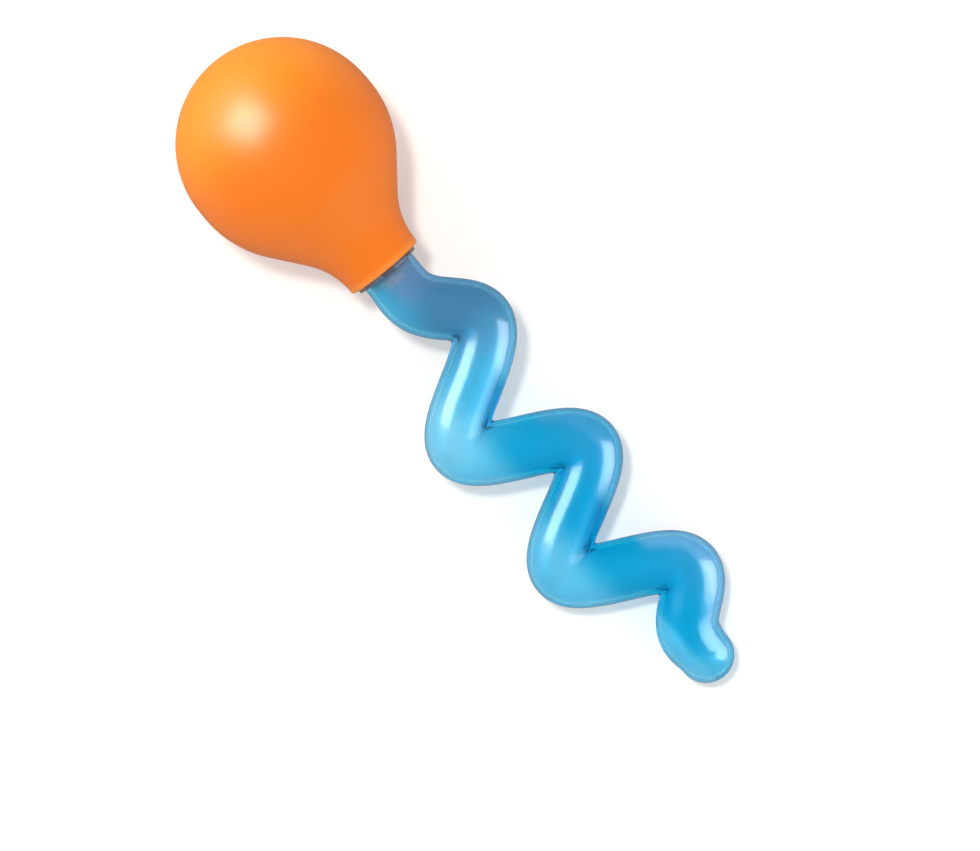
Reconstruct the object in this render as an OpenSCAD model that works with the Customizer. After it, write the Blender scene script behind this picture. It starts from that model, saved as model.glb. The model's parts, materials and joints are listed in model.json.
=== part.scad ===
// Wavy water squirter: a soft squeeze bulb on a flanged plug, and the plug pushed
// into the mouth of a clear wavy tube with an outlet in its round tip. It lies as
// it is put down on a table, Z = 0: the wave is flat, the bulb and the end of the
// tube touch the surface and the tip points to +X. Lengths are in millimetres.

/* [Bulb] */
// Radius of the round crown
crown_r = 21.3; // [19:0.1:26]
// Length of the straight belt round the widest place
belt_len = 1.5; // [0.4:0.1:4]
// Radius of the shoulder curve below the belt
shoulder_r = 22.4; // [20:0.1:26]
// Steepest slope of the neck, in degrees
neck_slope = 38; // [32:1:44]
// Radius of the hollow curve from the neck into the cuff
neck_curve_r = 15.6; // [10:0.1:20]
// Outside radius of the cuff
cuff_r = 8.3; // [7.8:0.1:10]
// Radius of the rounded edge of the lip
lip_round = 0.5; // [0.2:0.1:1]
// Thickness of the rubber
bulb_wall = 2.2; // [1.4:0.1:2.8]

/* [Plug] */
// Radius of the flange that the lip sits on
flange_r = 7; // [6.6:0.1:8.4]
// Thickness of the flange
flange_t = 0.8; // [0.5:0.1:2]
// Length of the barbed spigot inside the cuff
spigot_len = 6; // [4:0.1:8]
// Number of barbs on the spigot
barb_count = 3; // [2:1:5]
// Height of a barb
barb_h = 0.5; // [0.2:0.1:0.8]
// Thickness of the spigot's wall under the barbs
plug_wall = 1.4; // [0.8:0.1:2]
// Length of the boss that is pushed into the tube
boss_len = 1.6; // [1:0.1:3]
// Outside radius of the stub pipe below the flange
stub_r = 2.4; // [2:0.1:3.4]
// How far the stub pipe reaches below the flange
stub_len = 3; // [2:0.1:6]
// Radius of the water passage through the plug
passage_r = 1.5; // [0.8:0.1:1.8]

/* [Tube] */
// Length of the tube along the squirter, from its mouth to its tip
tube_len = 106.4; // [90:0.2:130]
// Outside radius of the tube in the wave
tube_r = 6.35; // [5.8:0.05:6.8]
// Outside radius of the tube at its mouth
mouth_r = 5.9; // [5.6:0.1:6.4]
// Radius of the round tip
tip_r = 5.75; // [4.5:0.05:6]
// Thickness of the tube's wall
tube_wall = 1.2; // [0.8:0.1:1.6]
// Thickness of the wall round the socket in the mouth
socket_wall = 1; // [0.7:0.1:1.1]
// Length over which the mouth widens to the wave's tube
mouth_swell = 12; // [6:0.5:20]
// Length over which the tube narrows to the tip
tip_taper = 6; // [3:0.5:8]
// Radius of the outlet in the tip
outlet_r = 1.25; // [0.5:0.05:2]

/* [Wave] */
// How far the wave swings to each side of its middle, to the middle of the tube
wave_r = 10.1; // [8:0.1:12]
// Length of one wave
wave_len = 32.2; // [29:0.1:40]
// How far the wave's middle lies beside the bulb's axis
wave_shift = -1.5; // [-3:0.1:3]
// Distance from the mouth to the first full side bend
first_bend = 20.4; // [18:0.1:26]
// Length over which the tube leaves the axis
lead_in = 22.6; // [16:0.2:28]
// Length over which the tube comes back to the axis before its tip
lead_out = 14.4; // [12:0.2:24]
// Distance from the mouth at which the wave runs at half its rate
mouth_turn_mid = 7.5; // [5:0.1:14]
// Length over which the wave sets in after the mouth
mouth_turn_len = 66; // [36:1:80]
// Distance from the tip at which the wave runs at half its rate
tip_turn_mid = 13.3; // [8:0.1:16]
// Length over which the wave fades before the tip
tip_turn_len = 24; // [16:1:36]

/* [Fits] */
// Clearance between the bulb and the plug, at the spigot and under the lip
cuff_fit = 0.05; // [0.03:0.01:0.2]
// Clearance between the plug and the tube, at the boss and under the flange
mouth_fit = 0.05; // [0.03:0.01:0.2]

/* [Hidden] */

bulb_colour = [0.96, 0.48, 0.14];
plug_colour = [0.24, 0.40, 0.62];
tube_colour = [0.10, 0.60, 0.86, 0.75];

// One overrun for all cuts
overrun = 1;
// Sides of a turned piece, points on each curve of its outline
round_fn = 96;
arc_steps = 14;
// Balls that the tube's skin is drawn over, rings along it and on its domed tip, and
// sides of each ring
ball_count = 360;
tube_rings = 128;
dome_rings = 5;
tube_sides = 18;

// Outline of the bulb along the axis: three arcs round shared centres, drawn
// at the skin for depth 0 and inside the rubber for other depths
shoulder_centre = [belt_len, crown_r - shoulder_r];
shoulder_end_x = shoulder_centre[0] + shoulder_r * sin(neck_slope);
shoulder_end_r = shoulder_centre[1] + shoulder_r * cos(neck_slope);
neck_start_r = cuff_r + neck_curve_r * (1 - cos(neck_slope));
neck_start_x = shoulder_end_x + (shoulder_end_r - neck_start_r) / tan(neck_slope);
cuff_x = neck_start_x + neck_curve_r * sin(neck_slope);
lip_x = cuff_x + lip_round;
neck_centre = [cuff_x, cuff_r + neck_curve_r];
cuff_bore_r = cuff_r - bulb_wall;

// Points on an arc, from one angle to another
function arc(centre, r, from, to) =
    [for (i = [0 : arc_steps]) let (a = from + (to - from) * i / arc_steps)
        centre + r * [cos(a), sin(a)]];

function bulb_line(depth) = concat(
    arc([0, 0], crown_r - depth, 180, 90),
    arc(shoulder_centre, shoulder_r - depth, 90, 90 - neck_slope),
    arc(neck_centre, neck_curve_r + depth, 270 - neck_slope, 270));

function reversed(list) = [for (i = [len(list) - 1 : -1 : 0]) list[i]];

// Radius of the hollow neck at a place along the axis, at a depth inside the skin
function neck_r(x, depth) =
    let (reach = neck_curve_r + depth, back = min(cuff_x - x, reach))
    back <= 0 ? cuff_r - depth : neck_centre[1] - sqrt(reach * reach - back * back);

// Places of the plug along the axis
flange_x = lip_x + cuff_fit;
mouth_x = flange_x + flange_t + mouth_fit;
spigot_x = flange_x - spigot_len;
barb_len = spigot_len / barb_count;
boss_r = mouth_r - socket_wall - mouth_fit;
core_r = cuff_bore_r - cuff_fit - barb_h - plug_wall;

function crest_r(x) = neck_r(x, bulb_wall + cuff_fit);

// Path of the tube's middle: it leaves the axis, swings from side to side and comes back
dome_t = tube_len - tip_r;

function eased(x) =
    let (c = min(max(x, 0), 1))
    c * c * c * (10 - 15 * c + 6 * c * c);

// Area under a ramp that rises smoothly from 0 to 1 as x goes from 0 to 1
function ramp_area(x) =
    let (c = min(max(x, 0), 1))
    c * c * c - c * c * c * c / 2 + max(x - 1, 0);

function turned_run(run, mid, span) = span * ramp_area((run - mid) / span + 1 / 2) + mid;

function turn(t) = 360 / wave_len * (turned_run(t, mouth_turn_mid, mouth_turn_len) - t
    + tube_len - turned_run(tube_len - t, tip_turn_mid, tip_turn_len) - first_bend);

function swing(t) = eased(t / lead_in) * eased((dome_t - t) / lead_out);

function path(t) = [mouth_x + t, swing(t) * (wave_shift + wave_r * cos(turn(t)))];

// Outside radius of the tube before its dome
function tube_out_r(t) = mouth_r + (tube_r - mouth_r) * eased(t / mouth_swell)
    - (tube_r - tip_r) * eased((t - tube_len + tip_r + tip_taper) / tip_taper);

// Balls along the path, each as its place, side and radius, with a straight run before the mouth
balls = [for (i = [0 : ball_count]) let (t = (dome_t + mouth_r) * i / ball_count - mouth_r)
    concat(path(t), [tube_out_r(t)])];

// Balls that reach a slice across the axis, each as its side and its squared radius there
function slice(x, depth) = [for (ball = balls)
    let (square = pow(ball[2] - depth, 2) - pow(x - ball[0], 2))
    if (square > 0) [ball[1], square]];

// Half the height of a slice at a distance beside the axis
function half_height(discs, y) =
    sqrt(max(0, max([for (disc = discs) disc[1] - pow(y - disc[0], 2)])));

// Places of the rings of one skin, without the tip's point
function skin_rings(depth) = concat(
    [for (i = [0 : tube_rings]) dome_t * i / tube_rings],
    [for (i = [1 : dome_rings]) dome_t + (tip_r - depth) * sin(90 * i / (dome_rings + 1))]);

function ring_points(x, discs) =
    let (high = max([for (disc = discs) disc[0] + sqrt(disc[1])]),
         low = min([for (disc = discs) disc[0] - sqrt(disc[1])]))
    [for (k = [0 : tube_sides - 1])
        let (a = 360 * k / tube_sides,
             y = (high + low) / 2 + (high - low) / 2 * cos(a))
        [x, y, sign(sin(a)) * half_height(discs, y)]];

function skin_points(depth) = concat(
    [for (t = skin_rings(depth)) each ring_points(mouth_x + t, slice(mouth_x + t, depth))],
    [[mouth_x + tube_len - depth, path(dome_t)[1], 0]]);

skin_ring_count = tube_rings + 1 + dome_rings;
skin_point_count = skin_ring_count * tube_sides + 1;

function flipped(face, flip) = flip ? [face[0], face[2], face[1]] : face;

// Triangles of one skin, whose points start at a given number
function skin_faces(start, flip) = concat(
    [for (i = [0 : skin_ring_count - 2], k = [0 : tube_sides - 1])
        let (a = start + i * tube_sides + k,
             b = start + i * tube_sides + (k + 1) % tube_sides)
        each [flipped([a, a + tube_sides, b], flip),
              flipped([b, a + tube_sides, b + tube_sides], flip)]],
    [for (k = [0 : tube_sides - 1])
        let (last = start + (skin_ring_count - 1) * tube_sides)
        flipped([last + k, start + skin_point_count - 1, last + (k + 1) % tube_sides], flip)]);

// Triangles of the flat ring at the mouth, between the two skins
function mouth_faces() =
    [for (k = [0 : tube_sides - 1])
        let (a = k, b = (k + 1) % tube_sides, c = k + skin_point_count, d = b + skin_point_count)
        each [[a, b, c], [b, d, c]]];

// How it lies: tilted so that the bulb's shoulder and the tube touch the table together
lie_tilt = min([for (ball = balls)
    let (ahead = ball[0] - shoulder_centre[0],
         reach = norm([ahead, shoulder_centre[1]]))
    if (reach > shoulder_r)
        atan2(shoulder_centre[1], ahead) + asin((shoulder_r - ball[2]) / reach)]);
lie_height = shoulder_r + shoulder_centre * [sin(lie_tilt), cos(lie_tilt)];
outlet_rim_x = mouth_x + dome_t + sqrt(tip_r * tip_r - outlet_r * outlet_r);
lie_middle = (outlet_rim_x * cos(lie_tilt) + outlet_r * sin(lie_tilt) - crown_r) / 2;

// Lays a piece that is drawn along the axis, with the bulb's middle at zero, on the table
module lie() {
    translate([-lie_middle, 0, lie_height])
        rotate([0, lie_tilt, 0])
            children();
}

// Turns an outline of [place along the axis, radius] points about the axis
module turned(outline) {
    rotate([0, 90, 0])
        rotate_extrude($fn = round_fn)
            polygon([for (p = outline) [p[1], p[0]]]);
}

module squeeze_bulb() {
    color(bulb_colour)
        lie()
            turned(concat(
                bulb_line(0),
                arc([cuff_x, cuff_r - lip_round], lip_round, 90, 0),
                [[lip_x, cuff_bore_r]],
                reversed(bulb_line(bulb_wall))));
}

// Teeth that ease the bulb on and hold it: each rises towards the flange and drops back
function barb_line() = [for (i = [0 : barb_count - 1])
    let (from = spigot_x + i * barb_len, to = from + barb_len)
    each [[from, crest_r(to) - barb_h], [to, crest_r(to)]]];

module neck_plug() {
    floor_x = flange_x - plug_wall;
    below_x = flange_x + flange_t;
    color(plug_colour)
        lie()
            turned(concat(
                [[spigot_x, core_r]],
                barb_line(),
                [[flange_x, flange_r], [below_x, flange_r]],
                [[below_x, boss_r], [below_x + boss_len, boss_r]],
                [[below_x + boss_len, stub_r], [below_x + stub_len, stub_r]],
                [[below_x + stub_len, passage_r], [floor_x, passage_r], [floor_x, core_r]]));
}

// Round bar along the axis, for the bores
module axis_bar(from, to, r) {
    translate([from, 0, 0])
        rotate([0, 90, 0])
            cylinder(r = r, h = to - from, $fn = round_fn);
}

module wavy_tube() {
    color(tube_colour)
        lie()
            difference() {
                polyhedron(
                    points = concat(skin_points(0), skin_points(tube_wall)),
                    faces = concat(skin_faces(0, false), skin_faces(skin_point_count, true),
                                   mouth_faces()));
                axis_bar(mouth_x - overrun, mouth_x + boss_len + mouth_fit, mouth_r - socket_wall);
                axis_bar(mouth_x + dome_t, mouth_x + tube_len + overrun, outlet_r);
            }
}

squeeze_bulb();
neck_plug();
wavy_tube();
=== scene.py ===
import json
import math

import bpy
from mathutils import Matrix, Vector


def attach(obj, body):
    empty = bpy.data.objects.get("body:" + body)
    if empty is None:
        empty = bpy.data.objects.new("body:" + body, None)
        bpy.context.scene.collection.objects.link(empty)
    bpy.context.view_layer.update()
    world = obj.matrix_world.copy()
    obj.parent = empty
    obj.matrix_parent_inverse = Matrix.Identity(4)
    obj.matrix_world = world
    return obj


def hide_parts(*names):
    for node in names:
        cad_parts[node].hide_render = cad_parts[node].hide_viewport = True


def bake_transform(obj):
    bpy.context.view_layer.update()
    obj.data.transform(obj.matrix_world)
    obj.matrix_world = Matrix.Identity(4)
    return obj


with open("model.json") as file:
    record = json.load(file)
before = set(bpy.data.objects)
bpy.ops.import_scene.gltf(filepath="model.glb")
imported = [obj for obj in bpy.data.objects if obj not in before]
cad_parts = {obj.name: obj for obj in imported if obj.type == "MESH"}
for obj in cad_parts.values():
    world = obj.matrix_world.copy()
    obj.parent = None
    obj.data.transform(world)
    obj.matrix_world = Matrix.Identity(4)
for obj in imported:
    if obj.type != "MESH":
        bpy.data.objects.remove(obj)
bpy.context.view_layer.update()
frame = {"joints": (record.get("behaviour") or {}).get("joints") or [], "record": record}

# Wavy water squirter: rubber bulb, flanged plug and clear wavy tube, lying on a table.
# Pieces are modelled along X with the bulb's middle at zero, then laid on the table.

MM = 0.001

# Places that the frame gives
JOINTS = {joint["name"]: joint for joint in frame["joints"]}
MOUNTS = {mount["name"]: mount for mount in frame["record"]["mounts"]}
AXIS = Vector(JOINTS["bulb_squeeze"]["axis"]).normalized()
BULB_MIDDLE = Vector(MOUNTS["bulb_grip"]["pos_m"])
LIE_TILT = math.asin(-AXIS.z)
LIE = Matrix.Translation(BULB_MIDDLE) @ Matrix.Rotation(LIE_TILT, 4, "Y")

# Bulb
CROWN_R = 21.3 * MM
BELT_LEN = 1.5 * MM
SHOULDER_R = 22.4 * MM
NECK_SLOPE = math.radians(38)
NECK_CURVE_R = 15.6 * MM
CUFF_R = 8.3 * MM
BULB_WALL = 2.2 * MM
LIP_ROUND = 0.5 * MM

# Plug
FLANGE_R = 7.0 * MM
FLANGE_T = 0.8 * MM
SPIGOT_LEN = 6.0 * MM
BARB_COUNT = 3
BARB_H = 0.5 * MM
PLUG_WALL = 1.4 * MM
BOSS_LEN = 1.6 * MM
STUB_R = 2.4 * MM
STUB_LEN = 3.0 * MM
PASSAGE_R = 1.5 * MM
EDGE_ROUND = 0.18 * MM

# Tube
TUBE_LEN = 106.4 * MM
TUBE_R = 6.35 * MM
MOUTH_R = 5.9 * MM
TIP_R = 5.75 * MM
TUBE_WALL = 1.2 * MM
SOCKET_WALL = 1.0 * MM
MOUTH_SWELL = 12.0 * MM
TIP_TAPER = 6.0 * MM
OUTLET_R = MOUNTS["outlet"]["dims"]["r_mm"] * MM

# Wave
WAVE_R = 10.1 * MM
WAVE_LEN = 32.2 * MM
WAVE_SHIFT = -1.5 * MM
FIRST_BEND = 20.4 * MM
LEAD_IN = 22.6 * MM
LEAD_OUT = 14.4 * MM
MOUTH_TURN_MID = 7.5 * MM
MOUTH_TURN_LEN = 66.0 * MM
TIP_TURN_MID = 13.3 * MM
TIP_TURN_LEN = 24.0 * MM

# Fits
CUFF_FIT = 0.05 * MM
MOUTH_FIT = 0.05 * MM

# Places along the axis that follow from these sizes
SHOULDER_END_X = BELT_LEN + SHOULDER_R * math.sin(NECK_SLOPE)
SHOULDER_END_R = CROWN_R - SHOULDER_R + SHOULDER_R * math.cos(NECK_SLOPE)
NECK_START_R = CUFF_R + NECK_CURVE_R * (1 - math.cos(NECK_SLOPE))
NECK_START_X = SHOULDER_END_X + (SHOULDER_END_R - NECK_START_R) / math.tan(NECK_SLOPE)
CUFF_X = NECK_START_X + NECK_CURVE_R * math.sin(NECK_SLOPE)
LIP_X = CUFF_X + LIP_ROUND
FLANGE_X = LIP_X + CUFF_FIT
BELOW_X = FLANGE_X + FLANGE_T
MOUTH_X = BELOW_X + MOUTH_FIT
DOME_T = TUBE_LEN - TIP_R

# Fineness of the meshes
ROUND_STEPS = 96
TUBE_STEPS = 64
TUBE_RING_GAP = 0.4 * MM
BALL_COUNT = 480
CREASE_START = 6.0 * MM
CREASE_PASSES = 5
CREASE_FACTOR = 0.5
ARC_GAP = math.radians(4)
CORNER_STEPS = 3
SMOOTH_ANGLE = math.radians(40)
MERGE_GAP = 0.001 * MM

# Colours of the rubber, with painted light making the crown yellower, and where they change along
# the bulb
RUBBER_DARK = "EE7406"
RUBBER_LIGHT = "F27B0C"
RUBBER_CROWN_LIGHT = "F59A10"
RUBBER_LIP = "FFA84A"
CROWN_RUN = (4.0 * MM, -15.0 * MM)
CROWN_DRIFT = 8.0 * MM
LIP_RUN = (CUFF_X - 1.2 * MM, CUFF_X - 0.2 * MM)
GRAIN_DEPTH = 0.006 * MM

# Colours of the plug, with painted shade at the flange and a painted glow at the stub, and where
# they change along it
PLUG_FLANGE_SHADE = "8E868A"
PLUG_BODY = "D6CACA"
PLUG_SPECK = "FFFFFF"
STUB_PAINTED_GLOW = (0.6, 0.42, 0.36, 1.0)
BOSS_RUN = (BELOW_X - 0.1 * MM, BELOW_X + 0.1 * MM)
STUB_RUN = (BELOW_X + 0.3 * BOSS_LEN, BELOW_X + BOSS_LEN)
SPECK_STEP = (0.45, 0.6)

# Colours of the tube: its own deep blue and its inside, with painted light, shade and reflections
# laid over the blue
TUBE_DEEP = "20CFE9"
TUBE_PAINTED_LIGHT = "C2EEFA"
TUBE_RIGHT_SHADE = "82CAE8"
TUBE_MOUTH_REFLECTION = "86B4CE"
TUBE_WALL_REFLECTION = "C4E2F8"
TUBE_FLANK_SHADE = "10A0D0"
TUBE_NECK_LIGHT = "BCC6E2"
TUBE_INSIDE = (0.01, 0.735, 0.916, 1.0)
TUBE_DENSITY = 260.0

# Where the tube's painted light, shade and reflections and its coat change: runs past its mouth,
# and sides to the right of its axis
NECK_LIGHT_RUN = (10.0 * MM, 4.0 * MM)
MOUTH_REFLECTION_RUN = (30.0 * MM, 14.0 * MM)
FIRST_RUN = (44.0 * MM, 34.0 * MM)
FOURTH_LEG_RUN = (48.0 * MM, 50.0 * MM)
THIRD_BEND_RUN = (68.0 * MM, 74.0 * MM)
LAST_RUN = (80.0 * MM, 86.0 * MM)
DULL_RUN = (97.0 * MM, 92.0 * MM)
TIP_RUN = (TUBE_LEN - 10.0 * MM, TUBE_LEN - 3.0 * MM)
LEFT_SIDE = (-3.0 * MM, -11.0 * MM)
RIGHT_SIDE = (2.0 * MM, 10.0 * MM)
OUTER_SIDE = (3.0 * MM, 6.0 * MM)
FLANK_SIDE = (6.0 * MM, 2.0 * MM)
NECK_LIGHT_SIDE = (-4.0 * MM, 0.0)
MOUTH_REFLECTION_SIDE = (-6.0 * MM, 2.0 * MM)
UNDER_SIDE = (-0.5 * MM, -3.0 * MM)
DULL_SIDE = (7.0 * MM, 4.0 * MM)
SIDE_DRIFT = 3.0 * MM

# Bends and legs that the painted reflections and shade, and the coat, follow
SECOND_CORNER = (51.7 * MM, 0.6 * MM)
THIRD_CORNER = (84.9 * MM, 1.6 * MM)
OUTER_WALL_RUN = (8.3 * MM, 10.2 * MM)
SECOND_REFLECTION = 0.25
THIRD_REFLECTION = 0.7
SECOND_LEG = 32.0 * MM
FOURTH_LEG = SECOND_LEG + WAVE_LEN
LEG_LEAN = 0.63
FULL_REACH = 0.6
FLANK_REACH = 14.0 * MM
FLANK_RUN = (-4.0 * MM, -1.0 * MM)
EDGE_REACH = 5.5 * MM
EDGE_RUN = (-0.5 * MM, 1.5 * MM)

# Camera: it looks straight down on the table, a long lens away
PHOTO_W = 980
PIXEL = 0.2 * MM
AXIS_ON_SCREEN = math.radians(50.29)
LOOK_AT = Vector((69.5, -4.0, 0.0)) * MM
CAMERA_AWAY = 0.9
SENSOR_W = 36.0

# Light and table
FLOOR_SIZE = 3.0
FLOOR_GAP = 0.05 * MM
FLOOR_COLOUR = (0.98, 0.94, 0.89, 1.0)
FLOOR_GLOW = 0.32
FLOOR_GLOSS = 0.25
ROOM_LEVEL = 0.5
GLOSS_LEVEL = 0.05
CLEAR_LEVEL = 0.6


def arc(centre_x, centre_r, radius, start, stop):
    """Outline points on an arc, from one angle in degrees to another."""
    steps = max(2, round(abs(math.radians(stop - start)) / ARC_GAP))
    angles = [math.radians(start + (stop - start) * i / steps) for i in range(steps + 1)]
    return [(centre_x + radius * math.cos(a), centre_r + radius * math.sin(a)) for a in angles]


def deselect_all():
    bpy.ops.object.select_all(action="DESELECT")


def only(piece):
    """Makes a piece the only selected and active one."""
    deselect_all()
    piece.select_set(True)
    bpy.context.view_layer.objects.active = piece


def apply_modifiers(piece):
    only(piece)
    for modifier in list(piece.modifiers):
        bpy.ops.object.modifier_apply(modifier=modifier.name)


def lay_down(piece):
    """Puts a piece that was modelled along X in its place on the table."""
    only(piece)
    piece.matrix_world = LIE
    bpy.ops.object.transform_apply(location=True, rotation=True, scale=True)
    bpy.ops.object.shade_smooth_by_angle(angle=SMOOTH_ANGLE)


def draw_outline(name, outline):
    """A point is drawn out along an outline of (place along X, radius) in edit mode."""
    deselect_all()
    bpy.ops.mesh.primitive_plane_add(size=MM)
    piece = bpy.context.object
    piece.name = name
    piece.data.name = name
    bpy.ops.object.mode_set(mode="EDIT")
    bpy.ops.mesh.select_all(action="SELECT")
    bpy.ops.mesh.merge(type="CENTER")
    here = Vector((0, 0, 0))
    for i, (x, r) in enumerate(outline):
        there = Vector((x, r, 0))
        if i == 0:
            bpy.ops.transform.translate(value=there - here)
        else:
            bpy.ops.mesh.extrude_region_move(TRANSFORM_OT_translate={"value": there - here})
        here = there
    return piece


def spin_outline(steps):
    """Spins the drawn outline once round X, closes it and turns its faces outwards."""
    bpy.ops.mesh.select_all(action="SELECT")
    bpy.ops.mesh.spin(steps=steps, angle=math.tau, center=(0, 0, 0), axis=(1, 0, 0))
    bpy.ops.mesh.select_all(action="SELECT")
    bpy.ops.mesh.remove_doubles(threshold=MERGE_GAP)
    bpy.ops.mesh.normals_make_consistent(inside=False)
    bpy.ops.object.mode_set(mode="OBJECT")


def bulb_line(depth):
    """Outline of the bulb from its crown to its cuff, at a depth inside the rubber."""
    slope = math.degrees(NECK_SLOPE)
    neck_r = NECK_CURVE_R + depth
    return (
        arc(0, 0, CROWN_R - depth, 180, 90)
        + arc(BELT_LEN, CROWN_R - SHOULDER_R, SHOULDER_R - depth, 90, 90 - slope)
        + arc(CUFF_X, CUFF_R + NECK_CURVE_R, neck_r, 270 - slope, 270)
    )


def make_bulb():
    outline = (
        bulb_line(0)
        + arc(CUFF_X, CUFF_R - LIP_ROUND, LIP_ROUND, 90, 0)
        + arc(LIP_X - LIP_ROUND, CUFF_R - BULB_WALL + LIP_ROUND, LIP_ROUND, 0, -90)
        + bulb_line(BULB_WALL)[::-1]
    )
    piece = draw_outline("squeeze_bulb_skin", outline)
    spin_outline(ROUND_STEPS)
    lay_down(piece)
    return piece


def crest_r(x):
    """Radius of the spigot's barbs, which follow the inside of the rubber neck."""
    reach = NECK_CURVE_R + BULB_WALL + CUFF_FIT
    back = max(0, CUFF_X - x)
    return CUFF_R + NECK_CURVE_R - math.sqrt(reach * reach - back * back)


def rounded(points, radius):
    """Outline with each square corner, marked True, rounded off in a few steps."""
    out = []
    for i, (x, r, corner) in enumerate(points):
        here = Vector((x, r))
        if not corner:
            out.append((x, r))
            continue
        before = Vector(points[i - 1][:2])
        after = Vector(points[(i + 1) % len(points)][:2])
        start = here + (before - here).normalized() * radius
        stop = here + (after - here).normalized() * radius
        for k in range(CORNER_STEPS + 1):
            t = k / CORNER_STEPS
            p = start * (1 - t) ** 2 + here * 2 * t * (1 - t) + stop * t * t
            out.append((p.x, p.y))
    return out


def make_plug():
    spigot_x = FLANGE_X - SPIGOT_LEN
    barb_len = SPIGOT_LEN / BARB_COUNT
    core_r = CUFF_R - BULB_WALL - CUFF_FIT - BARB_H - PLUG_WALL
    boss_r = MOUTH_R - SOCKET_WALL - MOUTH_FIT
    floor_x = FLANGE_X - PLUG_WALL
    points = [(spigot_x, core_r, False)]
    for i in range(BARB_COUNT):
        x = spigot_x + i * barb_len
        crest = crest_r(x + barb_len)
        points += [(x, crest - BARB_H, False), (x + barb_len, crest, False)]
    points += [
        (FLANGE_X, FLANGE_R, True),
        (BELOW_X, FLANGE_R, True),
        (BELOW_X, boss_r, False),
        (BELOW_X + BOSS_LEN, boss_r, True),
        (BELOW_X + BOSS_LEN, STUB_R, False),
        (BELOW_X + STUB_LEN, STUB_R, True),
        (BELOW_X + STUB_LEN, PASSAGE_R, True),
        (floor_x, PASSAGE_R, False),
        (floor_x, core_r, False),
    ]
    outline = rounded(points, EDGE_ROUND)
    piece = draw_outline("neck_plug_body", outline + outline[:1])
    spin_outline(ROUND_STEPS)
    lay_down(piece)
    return piece


def eased(x):
    """Rises from 0 to 1 with soft ends."""
    c = min(max(x, 0), 1)
    return c ** 3 * (10 - 15 * c + 6 * c * c)


def ramp_area(x):
    """Area under a soft step from 0 to 1."""
    c = min(max(x, 0), 1)
    return c ** 3 - c ** 4 / 2 + max(x - 1, 0)


def turned_run(run, mid, span):
    """A run that is held at mid until it gets there, with a soft change over a span."""
    return span * ramp_area((run - mid) / span + 0.5) + mid


def tube_side(t):
    """How far the tube's middle lies beside the axis, at a distance from the mouth."""
    run = (
        turned_run(t, MOUTH_TURN_MID, MOUTH_TURN_LEN)
        - t
        + TUBE_LEN
        - turned_run(TUBE_LEN - t, TIP_TURN_MID, TIP_TURN_LEN)
    )
    turn = math.tau / WAVE_LEN * (run - FIRST_BEND)
    swing = eased(t / LEAD_IN) * eased((DOME_T - t) / LEAD_OUT)
    return swing * (WAVE_SHIFT + WAVE_R * math.cos(turn))


def tube_out_r(t):
    """Outside radius of the tube at a distance from the mouth, before its dome."""
    swelling = (TUBE_R - MOUTH_R) * eased(t / MOUTH_SWELL)
    return MOUTH_R + swelling - (TUBE_R - TIP_R) * eased((t - DOME_T + TIP_TAPER) / TIP_TAPER)


def tube_line(depth):
    """Outline of the straight tube from the tip's outlet to the mouth, at a depth in its wall."""
    dome_r = TIP_R - depth
    rim = math.degrees(math.asin(OUTLET_R / dome_r))
    steps = round(DOME_T / TUBE_RING_GAP)
    places = [DOME_T * (1 - i / steps) for i in range(1, steps + 1)]
    return arc(MOUTH_X + DOME_T, 0, dome_r, rim, 90) + [
        (MOUTH_X + t, tube_out_r(t) - depth) for t in places
    ]


def slice_discs(balls, x, depth):
    """The balls that reach a slice across the axis, each as its side and squared radius there."""
    discs = [(side, (r - depth) ** 2 - (x - place) ** 2) for place, side, r in balls]
    return [(side, square) for side, square in discs if square > 0]


def bend_to_wave(piece):
    """Moves the points of the straight tube, by slices, onto a skin over balls along the wave."""
    step = (DOME_T + MOUTH_R) / BALL_COUNT
    places = [i * step - MOUTH_R for i in range(BALL_COUNT + 1)]
    balls = [(MOUTH_X + t, tube_side(t), tube_out_r(t)) for t in places]
    slices = {}
    for vertex in piece.data.vertices:
        x, y, z = vertex.co
        t = x - MOUTH_X
        r = math.hypot(y, z)
        depth = tube_out_r(t) - r if t < DOME_T else TIP_R - math.hypot(t - DOME_T, r)
        key = (round(x / MERGE_GAP), round(depth / MERGE_GAP))
        if key not in slices:
            slices[key] = slice_discs(balls, x, depth)
        discs = slices[key]
        high = max(side + math.sqrt(square) for side, square in discs)
        low = min(side - math.sqrt(square) for side, square in discs)
        new_y = (high + low) / 2 + (high - low) / 2 * y / r
        rise = max(square - (new_y - side) ** 2 for side, square in discs)
        vertex.co = (x, new_y, math.copysign(math.sqrt(max(rise, 0)), z))


def soften_creases(piece):
    """Smooths the creases inside the bends, away from the mouth and the tip."""
    group = piece.vertex_groups.new(name="wave")
    middle = [v.index for v in piece.data.vertices if CREASE_START < v.co.x - MOUTH_X < DOME_T]
    group.add(middle, 1.0, "REPLACE")
    smooth = piece.modifiers.new("creases", "SMOOTH")
    smooth.vertex_group = group.name
    smooth.factor = CREASE_FACTOR
    smooth.iterations = CREASE_PASSES
    apply_modifiers(piece)


def make_tube():
    socket_r = MOUTH_R - SOCKET_WALL
    socket_x = MOUTH_X + BOSS_LEN + MOUTH_FIT
    inside = [(x, r) for x, r in tube_line(TUBE_WALL) if x > socket_x]
    outline = (
        tube_line(0)
        + [(MOUTH_X, socket_r), (socket_x, socket_r), (socket_x, MOUTH_R - TUBE_WALL)]
        + inside[::-1]
    )
    piece = draw_outline("wavy_tube_wall", outline + outline[:1])
    spin_outline(TUBE_STEPS)
    bend_to_wave(piece)
    soften_creases(piece)
    lay_down(piece)
    return piece


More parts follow.
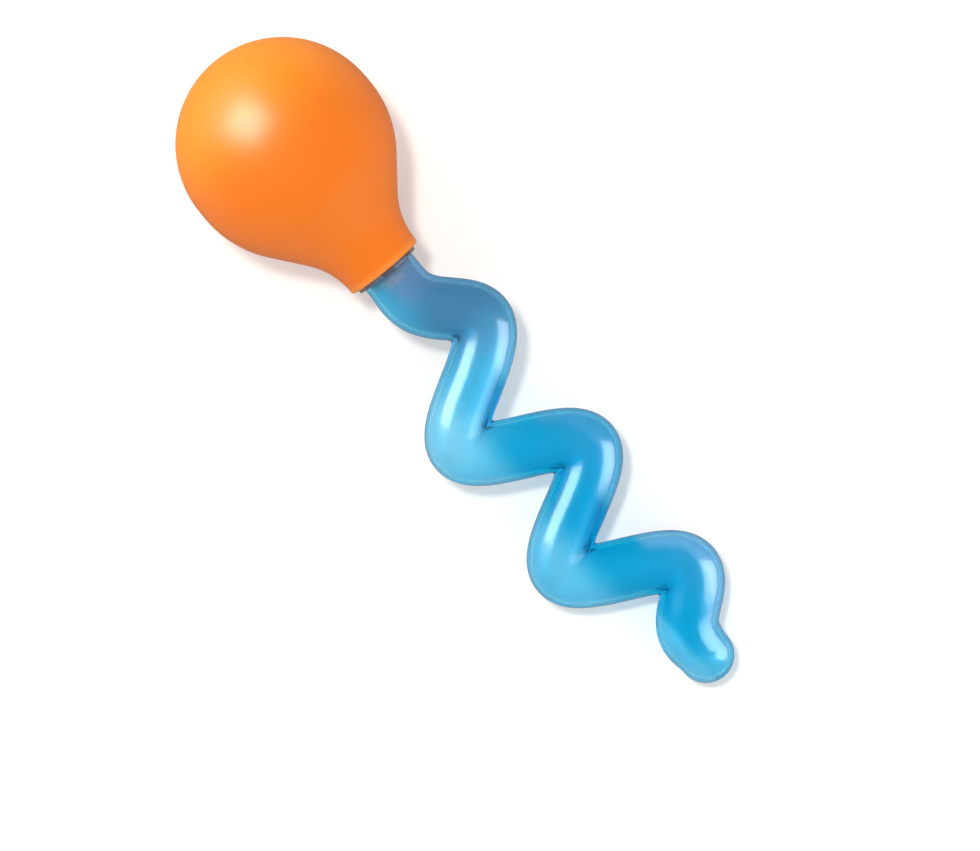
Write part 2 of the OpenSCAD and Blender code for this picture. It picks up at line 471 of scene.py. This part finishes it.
class Value:
    """A shader socket. Sums on it add Math nodes."""

    def __init__(self, finish, socket):
        self.finish = finish
        self.socket = socket

    def sum(self, operation, *values):
        return self.finish.node("ShaderNodeMath", {"operation": operation}, values)

    def __add__(self, other):
        return self.sum("ADD", self, other)

    def __radd__(self, other):
        return self.sum("ADD", other, self)

    def __sub__(self, other):
        return self.sum("SUBTRACT", self, other)

    def __rsub__(self, other):
        return self.sum("SUBTRACT", other, self)

    def __mul__(self, other):
        return self.sum("MULTIPLY", self, other)

    def __rmul__(self, other):
        return self.sum("MULTIPLY", other, self)


class Finish:
    """The nodes of one material, or of the world."""

    def __init__(self, owner):
        self.owner = owner
        owner.use_nodes = True
        self.tree = owner.node_tree
        self.tree.nodes.clear()

    def node(self, kind, settings, sockets, out=0):
        """Adds a node, sets it, fills its sockets by place or by name, and gives one output."""
        made = self.tree.nodes.new(kind)
        for key, value in settings.items():
            setattr(made, key, value)
        pairs = sockets.items() if isinstance(sockets, dict) else enumerate(sockets)
        for key, value in pairs:
            if isinstance(value, Value):
                self.tree.links.new(value.socket, made.inputs[key])
            else:
                made.inputs[key].default_value = value
        return Value(self, made.outputs[out]) if made.outputs else made

    def place(self):
        return self.node("ShaderNodeTexCoord", {}, {}, "Object")

    def noise(self, scale, detail):
        sockets = {"Vector": self.place(), "Scale": scale, "Detail": detail}
        return self.node("ShaderNodeTexNoise", {}, sockets, "Fac")

    def along_axis(self):
        """Distance from the bulb's middle along the squirter, in metres."""
        vector_math = "ShaderNodeVectorMath"
        centred = self.node(vector_math, {"operation": "SUBTRACT"}, [self.place(), BULB_MIDDLE])
        return self.node(vector_math, {"operation": "DOT_PRODUCT"}, [centred, AXIS], "Value")

    def sideways(self):
        """Distance beside the squirter's axis, in metres."""
        return self.node("ShaderNodeSeparateXYZ", {}, [self.place()], "Y")

    def ramp(self, value, low, high):
        """0 below low, 1 above high, smooth between."""
        sockets = {"Value": value, "From Min": low, "From Max": high}
        return self.node("ShaderNodeMapRange", {"interpolation_type": "SMOOTHSTEP"}, sockets)

    def mix(self, factor, first, second):
        """Mixes two colours."""
        sockets = {0: factor, 6: first, 7: second}
        return self.node("ShaderNodeMix", {"data_type": "RGBA"}, sockets, 2)

    def bump(self, height, depth):
        sockets = {"Height": height, "Distance": depth, "Strength": 1.0}
        return self.node("ShaderNodeBump", {}, sockets)

    def seen_ray(self, kind):
        """1 for rays of a kind, such as Camera, and 0 for the others."""
        return self.node("ShaderNodeLightPath", {}, {}, f"Is {kind} Ray")

    def surface(self, sockets):
        return self.node("ShaderNodeBsdfPrincipled", {}, sockets)

    def output(self, sockets):
        self.node("ShaderNodeOutputMaterial", {}, sockets)
        return self.owner


def new_finish(name):
    return Finish(bpy.data.materials.new(name))


def colour(text):
    """Linear colour from a six-digit sRGB one."""
    parts = [int(text[i : i + 2], 16) / 255 for i in (0, 2, 4)]
    linear = [c / 12.92 if c <= 0.04045 else ((c + 0.055) / 1.055) ** 2.4 for c in parts]
    return (*linear, 1.0)


def grey(level):
    return (level, level, level, 1.0)


def rubber():
    """Satin orange rubber with a faint grain, paler at the lip, with painted light making the
    crown yellower on the bulb's lit side.
    """
    f = new_finish("orange_rubber")
    along = f.along_axis()
    mottle = f.noise(scale=90.0, detail=3.0)
    grain = f.noise(scale=2600.0, detail=2.0)
    # painted light: the crown, on the bulb's lit side, is mixed towards a yellower orange
    crown_light = f.ramp(along + CROWN_DRIFT * (mottle - 0.5), *CROWN_RUN)
    lip = f.ramp(along, *LIP_RUN)
    body = f.mix(mottle, colour(RUBBER_DARK), colour(RUBBER_LIGHT))
    body = f.mix(crown_light * 0.45, body, colour(RUBBER_CROWN_LIGHT))
    shader = f.surface(
        {
            "Base Color": f.mix(lip * 0.3, body, colour(RUBBER_LIP)),
            "Roughness": 0.35 + 0.06 * mottle,
            "IOR": 1.6,
            "Subsurface Weight": 0.12,
            "Subsurface Radius": (1.0, 0.35, 0.1),
            "Subsurface Scale": 2.5 * MM,
            "Normal": f.bump(grain, GRAIN_DEPTH),
        }
    )
    return f.output({"Surface": shader})


def outer_wall(f, past, side, corner):
    """0 near the inner corner of a bend, 1 at its outer wall."""
    ahead = past - corner[0]
    beside = side - corner[1]
    near, far = OUTER_WALL_RUN
    return f.ramp(ahead * ahead + beside * beside, near ** 2, far ** 2)


def wall_reflections(f, past, side):
    """How much painted reflection lies on the outer walls of the right bends, the third one most.
    """
    third = f.ramp(past, *THIRD_BEND_RUN)
    before = (1.0 - third) * SECOND_REFLECTION * outer_wall(f, past, side, SECOND_CORNER)
    after = third * THIRD_REFLECTION * outer_wall(f, past, side, THIRD_CORNER)
    return (before + after) * f.ramp(side, *OUTER_SIDE)


def right_flank(f, past, side, start, reach, run):
    """1 on the right flank of a leg that runs back to the left, below the bend before it."""
    ahead = past - start
    below = f.ramp(side, *FLANK_SIDE) * f.ramp(ahead, reach, FULL_REACH * reach)
    return below * f.ramp(ahead + LEG_LEAN * side, *run)


def right_flanks(f, past, side, reach, run):
    """1 on the right flanks of the second and fourth legs."""
    fourth = f.ramp(past, *FOURTH_LEG_RUN)
    before = right_flank(f, past, side, SECOND_LEG, reach, run)
    after = right_flank(f, past, side, FOURTH_LEG, reach, run)
    return before * (1.0 - fourth) + fourth * after


def tube_plastic():
    """Glossy clear blue plastic, with painted light in the left bends, painted shade in the right
    ones and a painted reflection of the bulb and plug greying it at the mouth.
    """
    f = new_finish("blue_tube_plastic")
    cloud = f.noise(scale=140.0, detail=2.0)
    side = f.sideways() + SIDE_DRIFT * (cloud - 0.5)
    past = f.along_axis() - MOUTH_X
    left = f.ramp(side, *LEFT_SIDE)
    right = f.ramp(side, *RIGHT_SIDE)
    first = f.ramp(past, *FIRST_RUN)
    mouth_reflection = f.ramp(past, *MOUTH_REFLECTION_RUN) * f.ramp(side, *MOUTH_REFLECTION_SIDE)
    neck = f.ramp(past, *NECK_LIGHT_RUN) * f.ramp(side, *NECK_LIGHT_SIDE)
    tip_light = f.ramp(past, *TIP_RUN)
    last = f.ramp(past, *LAST_RUN)
    under_light = last * f.ramp(side, *UNDER_SIDE)
    dull = last * f.ramp(past, *DULL_RUN) * f.ramp(side, *DULL_SIDE)
    flank = right_flanks(f, past, side, FLANK_REACH, FLANK_RUN)
    # painted shade: a darker blue band along the right flanks of the second and fourth legs
    flank_shade = right_flanks(f, past, side, EDGE_REACH, EDGE_RUN)
    tint = colour(TUBE_DEEP)
    for amount, shade in (
        # painted light: the first bend, the left bends, the tip and the last legs' lower sides
        # are mixed towards a pale blue
        (first * 0.45, TUBE_PAINTED_LIGHT),
        (left * (0.7 + 0.3 * first), TUBE_PAINTED_LIGHT),
        (tip_light * 0.5, TUBE_PAINTED_LIGHT),
        (under_light * 0.6, TUBE_PAINTED_LIGHT),
        # painted shade: the right bends are mixed towards a dimmer, greyer blue
        (right * 0.4, TUBE_RIGHT_SHADE),
        # painted reflection: a pale patch on the outer walls of the right bends
        (wall_reflections(f, past, side), TUBE_WALL_REFLECTION),
        (flank_shade * 0.8, TUBE_FLANK_SHADE),
        # painted reflection: a greyer, darker blue near the mouth stands in for the bulb and plug
        # seen in the plastic
        (mouth_reflection * 0.85, TUBE_MOUTH_REFLECTION),
        # painted light: a pale lavender patch on the neck just past the mouth
        (neck * 0.6, TUBE_NECK_LIGHT),
    ):
        tint = f.mix(amount, tint, colour(shade))
    shader = f.surface(
        {
            "Base Color": tint,
            "Roughness": 0.05 + 0.04 * cloud,
            "IOR": 1.15,
            "Transmission Weight": 0.88,
            "Coat Weight": (1.0 - 0.7 * dull) * (1.0 - 0.8 * flank),
            "Coat Roughness": 0.25,
        }
    )
    depths = {"Color": TUBE_INSIDE, "Density": TUBE_DENSITY}
    inside = f.node("ShaderNodeVolumeAbsorption", {}, depths)
    return f.output({"Surface": shader, "Volume": inside})


def plug_plastic():
    """Clear grey plastic, painted darker at the flange for the shade under the bulb's lip, cloudy
    and faintly speckled at the stub, with a painted glow there.
    """
    f = new_finish("grey_plug_plastic")
    along = f.along_axis()
    cloud = f.noise(scale=220.0, detail=2.0)
    speck = f.ramp(f.noise(scale=900.0, detail=2.0), *SPECK_STEP)
    boss = f.ramp(along, *BOSS_RUN)
    stub = f.ramp(along, *STUB_RUN)
    # painted shade: the flange, under the bulb's lip, is a darker grey than the body
    body = f.mix(boss, colour(PLUG_FLANGE_SHADE), colour(PLUG_BODY))
    shader = f.surface(
        {
            "Base Color": f.mix(0.4 * stub * speck, body, colour(PLUG_SPECK)),
            "Roughness": 0.1 + 0.08 * cloud,
            "IOR": 1.2,
            "Transmission Weight": 0.7,
            "Coat Weight": 1.0,
            "Coat Roughness": 0.06,
            # painted light: the stub glows, though it is no lamp, in place of light caught inside
            # the tube
            "Emission Color": f.mix(stub * (0.5 + 0.3 * speck), grey(0.0), STUB_PAINTED_GLOW),
            "Emission Strength": 0.5,
        }
    )
    return f.output({"Surface": shader})


def white_floor():
    """Table that keeps a soft shadow, white through clear plastic and dim in reflections."""
    f = new_finish("white_table")
    matt = f.node("ShaderNodeBsdfDiffuse", {}, {"Color": FLOOR_COLOUR})
    glow = f.node("ShaderNodeEmission", {}, {"Color": grey(1.0), "Strength": 1.0})
    dim = f.node("ShaderNodeEmission", {}, {"Color": grey(FLOOR_GLOSS), "Strength": 1.0})
    table = f.node("ShaderNodeMixShader", {}, [f.seen_ray("Glossy"), matt, dim])
    seen = f.seen_ray("Camera") * FLOOR_GLOW + f.seen_ray("Transmission")
    return f.output({"Surface": f.node("ShaderNodeMixShader", {}, [seen, table, glow])})


def wear(piece, material):
    """Gives a piece its material."""
    piece.data.materials.clear()
    piece.data.materials.append(material)


def make_camera():
    data = bpy.data.cameras.new("photo_camera")
    data.sensor_width = SENSOR_W
    data.lens = SENSOR_W * CAMERA_AWAY / (PHOTO_W * PIXEL)
    camera = bpy.data.objects.new("photo_camera", data)
    bpy.context.scene.collection.objects.link(camera)
    turn = Matrix.Rotation(AXIS_ON_SCREEN, 4, "Z")
    place = LIE @ LOOK_AT + Vector((0, 0, CAMERA_AWAY))
    camera.matrix_world = Matrix.Translation(place) @ turn
    bpy.context.scene.camera = camera
    return camera


def make_lamp(camera, name, kind, direction, size, away, power):
    """Soft lamp of (width, height), to the (right, up, near side) as the camera sees it."""
    data = bpy.data.lights.new(name, "AREA")
    data.shape = "RECTANGLE"
    data.size, data.size_y = size
    data.energy = power
    lamp = bpy.data.objects.new(name, data)
    bpy.context.scene.collection.objects.link(lamp)
    turn = camera.matrix_world.to_3x3()
    towards = (turn @ Vector(direction)).normalized()
    lamp.location = LIE @ LOOK_AT + towards * away
    lamp.rotation_euler = towards.to_track_quat("Z", "Y").to_euler()
    lamp.visible_diffuse = kind == "diffuse"
    lamp.visible_glossy = kind == "glossy"
    return lamp


def shine_on(lamp, *pieces):
    """Keeps a lamp's light to some pieces, as a flag beside it would."""
    lit = bpy.data.collections.new(lamp.name + "_lights")
    for piece in pieces:
        lit.objects.link(piece)
    lamp.light_linking.receiver_collection = lit


def make_world():
    """Even room light, white to the camera and dim in reflections."""
    world = bpy.data.worlds.new("studio")
    bpy.context.scene.world = world
    f = Finish(world)
    level = f.mix(f.seen_ray("Glossy"), grey(ROOM_LEVEL), grey(GLOSS_LEVEL))
    level = f.mix(f.seen_ray("Transmission"), level, grey(CLEAR_LEVEL))
    level = f.mix(f.seen_ray("Camera"), level, grey(1.0))
    room = f.node("ShaderNodeBackground", {}, {"Strength": 1.0, "Color": level})
    f.node("ShaderNodeOutputWorld", {}, {"Surface": room})


def make_floor():
    deselect_all()
    bpy.ops.mesh.primitive_plane_add(size=FLOOR_SIZE, location=(0, 0, -FLOOR_GAP))
    floor = bpy.context.object
    floor.name = "table_top"
    floor.data.materials.append(white_floor())


camera = make_camera()
make_world()
make_floor()
key_box = make_lamp(
    camera, "key_box", "glossy", direction=(-0.59, 0.4, 0.7),
    size=(0.34, 0.4), away=0.6, power=4.2,
)
tube_strip = make_lamp(
    camera, "tube_strip", "glossy", direction=(-0.68, 0.27, 0.68),
    size=(0.3, 0.42), away=0.6, power=4.4,
)
side_card = make_lamp(
    camera, "side_card", "glossy", direction=(0.93, -0.08, 0.33),
    size=(0.15, 0.18), away=0.22, power=0.58,
)
make_lamp(
    camera, "top_lamp", "diffuse", direction=(-0.16, 0.16, 1.0),
    size=(0.12, 0.12), away=1.2, power=8.5,
)
make_lamp(
    camera, "left_wall", "diffuse", direction=(-0.8, 0.55, 0.12),
    size=(0.8, 0.5), away=0.8, power=6.5,
)
make_lamp(
    camera, "right_wall", "diffuse", direction=(0.8, -0.55, 0.12),
    size=(0.8, 0.5), away=0.8, power=3.2,
)

bulb = make_bulb()
wear(bulb, rubber())
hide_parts("squeeze_bulb")
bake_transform(bulb)

plug = make_plug()
wear(plug, plug_plastic())
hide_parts("neck_plug")
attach(plug, "plug")

tube = make_tube()
wear(tube, tube_plastic())
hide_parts("wavy_tube")
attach(tube, "tube")
shine_on(side_card, tube, plug)
shine_on(tube_strip, tube, plug)
shine_on(key_box, bulb)

bpy.context.scene.view_settings.view_transform = "Standard"
